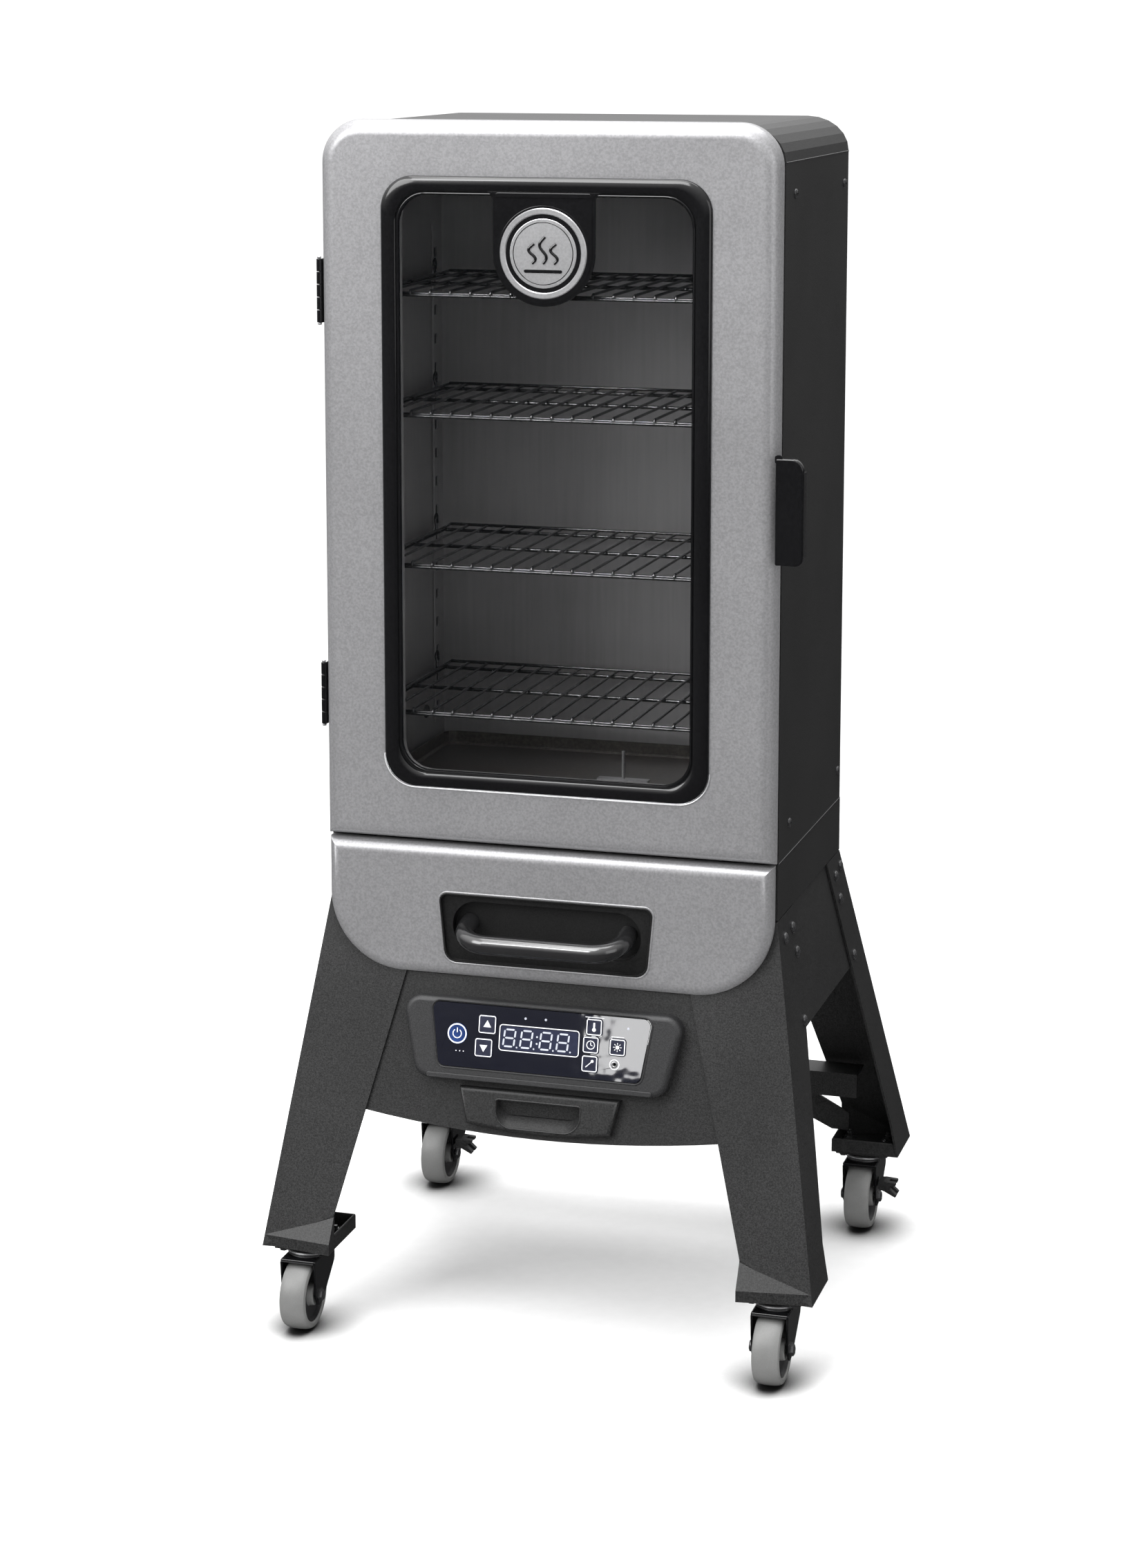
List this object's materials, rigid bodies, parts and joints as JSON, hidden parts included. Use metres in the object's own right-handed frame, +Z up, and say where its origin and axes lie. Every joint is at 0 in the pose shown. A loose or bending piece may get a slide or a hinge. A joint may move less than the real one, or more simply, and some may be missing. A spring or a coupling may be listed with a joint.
{
  "type": "electric cabinet smoker",
  "caption": "Tall insulated smoking cabinet with a glazed hinged door, a lower drawer and a sloping control panel, on splayed legs with swivel casters.",
  "frame": {"origin": "on the floor, at the middle of the overall width and depth", "axes": "+Z up, the door faces -Y, +X to the viewer's right"},
  "size_m": [0.5988, 0.569, 1.28],
  "materials": {
    "silver_paint": "hammered silver powder coat, satin",
    "black_paint": "fine-textured black powder coat",
    "liner_steel": "satin bare steel sheet",
    "gloss_black": "gloss black enamel",
    "gloss_navy": "gloss dark navy membrane",
    "glass": "clear, slightly smoked",
    "silicone": "matte",
    "chrome_wire": "polished plating",
    "zinc_steel": "satin zinc plate",
    "grey_tyre": "smooth grey polyurethane",
    "pan_enamel": "dark enamel",
    "black_plastic": "moulded, satin",
    "button_plastic": "satin",
    "button_blue": "gloss"
  },
  "bodies": {
    "cabinet": {"roof_panel": "black_paint", "side_panel_left": "black_paint", "side_panel_right": "black_paint", "back_panel": "black_paint", "chamber_liner": "liner_steel", "lower_housing": "black_paint", "heating_element": "zinc_steel", "water_pan": "pan_enamel", "temperature_sensor": "chrome_wire", "rack_rail_left": "chrome_wire", "rack_rail_right": "chrome_wire", "hinge_upper": "gloss_black", "hinge_lower": "gloss_black", "cord_gland": "black_plastic", "leg_front_left": "black_paint", "leg_front_right": "black_paint", "leg_rear_left": "black_paint", "leg_rear_right": "black_paint", "apron_front": "black_paint", "apron_rear": "black_paint", "apron_left": "black_paint", "apron_right": "black_paint", "rear_cross_bar": "black_paint", "control_housing": "black_plastic", "control_face": "gloss_navy", "latch_keeper": "zinc_steel"},
    "door": {"door_shell": "silver_paint", "door_liner": "liner_steel", "door_glass": "glass", "door_gasket": "silicone", "window_bezel": "gloss_black"},
    "latch_lever": {"latch_handle": "black_paint"},
    "latch_wire": {"latch_bail": "chrome_wire"},
    "drawer": {"drawer_front": "silver_paint", "drawer_handle": "gloss_black", "drawer_tray": "liner_steel"},
    "grease_drawer": {"grease_tray": "black_paint"},
    "damper_left": {"vent_damper_left": "black_paint"},
    "damper_right": {"vent_damper_right": "black_paint"},
    "rack_shelf_1": {"rack_1": "chrome_wire"},
    "rack_shelf_2": {"rack_2": "chrome_wire"},
    "rack_shelf_3": {"rack_3": "chrome_wire"},
    "rack_shelf_4": {"rack_4": "chrome_wire"},
    "key_power": {"button_power": "button_blue"},
    "key_up": {"button_up": "button_plastic"},
    "key_down": {"button_down": "button_plastic"},
    "key_temperature": {"button_temperature": "button_plastic"},
    "key_timer": {"button_timer": "button_plastic"},
    "key_probe": {"button_probe": "button_plastic"},
    "key_light": {"button_light": "button_plastic"},
    "swivel_front_left": {"caster_fork_front_left": "black_paint"},
    "wheel_front_left": {"caster_wheel_front_left": "grey_tyre"},
    "swivel_front_right": {"caster_fork_front_right": "black_paint"},
    "wheel_front_right": {"caster_wheel_front_right": "grey_tyre"},
    "swivel_rear_left": {"caster_fork_rear_left": "black_paint"},
    "wheel_rear_left": {"caster_wheel_rear_left": "grey_tyre"},
    "brake_left": {"caster_brake_left": "black_paint"},
    "swivel_rear_right": {"caster_fork_rear_right": "black_paint"},
    "wheel_rear_right": {"caster_wheel_rear_right": "grey_tyre"},
    "brake_right": {"caster_brake_right": "black_paint"}
  },
  "joints": [
    {"name": "door_hinge", "type": "hinge", "parent": "cabinet", "child": "door", "pos_m": [-0.2454, -0.1915, 0.90525], "axis": [0, 0, -1], "range_deg": [0, 110]},
    {"name": "latch_lever_pivot", "type": "hinge", "parent": "door", "child": "latch_lever", "pos_m": [0.245, -0.2015, 0.896], "axis": [0, 0, -1], "range_deg": [0, 85]},
    {"name": "latch_wire_pivot", "type": "hinge", "parent": "latch_lever", "child": "latch_wire", "pos_m": [0.2535, -0.1925, 0.896], "axis": [0, 0, -1], "range_deg": [0, 35]},
    {"name": "drawer_slide", "type": "slide", "parent": "cabinet", "child": "drawer", "axis": [0, -1, 0], "range_m": [0, 0.22]},
    {"name": "grease_tray_slide", "type": "slide", "parent": "cabinet", "child": "grease_drawer", "axis": [0, -1, 0], "range_m": [0, 0.15]},
    {"name": "damper_left_pivot", "type": "hinge", "parent": "cabinet", "child": "damper_left", "pos_m": [-0.084, 0.1302, 1.182], "axis": [0, 1, 0], "range_deg": [0, 90]},
    {"name": "damper_right_pivot", "type": "hinge", "parent": "cabinet", "child": "damper_right", "pos_m": [0.084, 0.1302, 1.182], "axis": [0, -1, 0], "range_deg": [0, 90]},
    {"name": "rack_1_slide", "type": "slide", "parent": "cabinet", "child": "rack_shelf_1", "axis": [0, 1, 0], "range_m": [0, 0.01]},
    {"name": "rack_2_slide", "type": "slide", "parent": "cabinet", "child": "rack_shelf_2", "axis": [0, 1, 0], "range_m": [0, 0.01]},
    {"name": "rack_3_slide", "type": "slide", "parent": "cabinet", "child": "rack_shelf_3", "axis": [0, 1, 0], "range_m": [0, 0.01]},
    {"name": "rack_4_slide", "type": "slide", "parent": "cabinet", "child": "rack_shelf_4", "axis": [0, 1, 0], "range_m": [0, 0.01]},
    {"name": "press_power", "type": "slide", "parent": "cabinet", "child": "key_power", "axis": [0, 0.9815, -0.1914], "range_m": [0, 0.001], "stiffness_N_per_m": 400},
    {"name": "press_up", "type": "slide", "parent": "cabinet", "child": "key_up", "axis": [0, 0.9815, -0.1914], "range_m": [0, 0.001], "stiffness_N_per_m": 400},
    {"name": "press_down", "type": "slide", "parent": "cabinet", "child": "key_down", "axis": [0, 0.9815, -0.1914], "range_m": [0, 0.001], "stiffness_N_per_m": 400},
    {"name": "press_temperature", "type": "slide", "parent": "cabinet", "child": "key_temperature", "axis": [0, 0.9815, -0.1914], "range_m": [0, 0.001], "stiffness_N_per_m": 400},
    {"name": "press_timer", "type": "slide", "parent": "cabinet", "child": "key_timer", "axis": [0, 0.9815, -0.1914], "range_m": [0, 0.001], "stiffness_N_per_m": 400},
    {"name": "press_probe", "type": "slide", "parent": "cabinet", "child": "key_probe", "axis": [0, 0.9815, -0.1914], "range_m": [0, 0.001], "stiffness_N_per_m": 400},
    {"name": "press_light", "type": "slide", "parent": "cabinet", "child": "key_light", "axis": [0, 0.9815, -0.1914], "range_m": [0, 0.001], "stiffness_N_per_m": 400},
    {"name": "swivel_front_left_turn", "type": "hinge", "parent": "cabinet", "child": "swivel_front_left", "pos_m": [-0.2565, -0.225, 0.088], "axis": [0, 0, 1], "continuous": true},
    {"name": "wheel_front_left_spin", "type": "hinge", "parent": "swivel_front_left", "child": "wheel_front_left", "pos_m": [-0.2565, -0.247, 0.0375], "axis": [1, 0, 0], "continuous": true},
    {"name": "swivel_front_right_turn", "type": "hinge", "parent": "cabinet", "child": "swivel_front_right", "pos_m": [0.2565, -0.225, 0.088], "axis": [0, 0, 1], "continuous": true},
    {"name": "wheel_front_right_spin", "type": "hinge", "parent": "swivel_front_right", "child": "wheel_front_right", "pos_m": [0.2565, -0.247, 0.0375], "axis": [1, 0, 0], "continuous": true},
    {"name": "swivel_rear_left_turn", "type": "hinge", "parent": "cabinet", "child": "swivel_rear_left", "pos_m": [-0.2565, 0.236, 0.088], "axis": [0, 0, 1], "continuous": true},
    {"name": "wheel_rear_left_spin", "type": "hinge", "parent": "swivel_rear_left", "child": "wheel_rear_left", "pos_m": [-0.2565, 0.214, 0.0375], "axis": [1, 0, 0], "continuous": true},
    {"name": "brake_left_rock", "type": "hinge", "parent": "swivel_rear_left", "child": "brake_left", "pos_m": [-0.233, 0.214, 0.0535], "axis": [0, 1, 0], "range_deg": [0, 15]},
    {"name": "swivel_rear_right_turn", "type": "hinge", "parent": "cabinet", "child": "swivel_rear_right", "pos_m": [0.2565, 0.236, 0.088], "axis": [0, 0, 1], "continuous": true},
    {"name": "wheel_rear_right_spin", "type": "hinge", "parent": "swivel_rear_right", "child": "wheel_rear_right", "pos_m": [0.2565, 0.214, 0.0375], "axis": [1, 0, 0], "continuous": true},
    {"name": "brake_right_rock", "type": "hinge", "parent": "swivel_rear_right", "child": "brake_right", "pos_m": [0.28, 0.214, 0.0535], "axis": [0, 1, 0], "range_deg": [0, 15]}
  ]
}
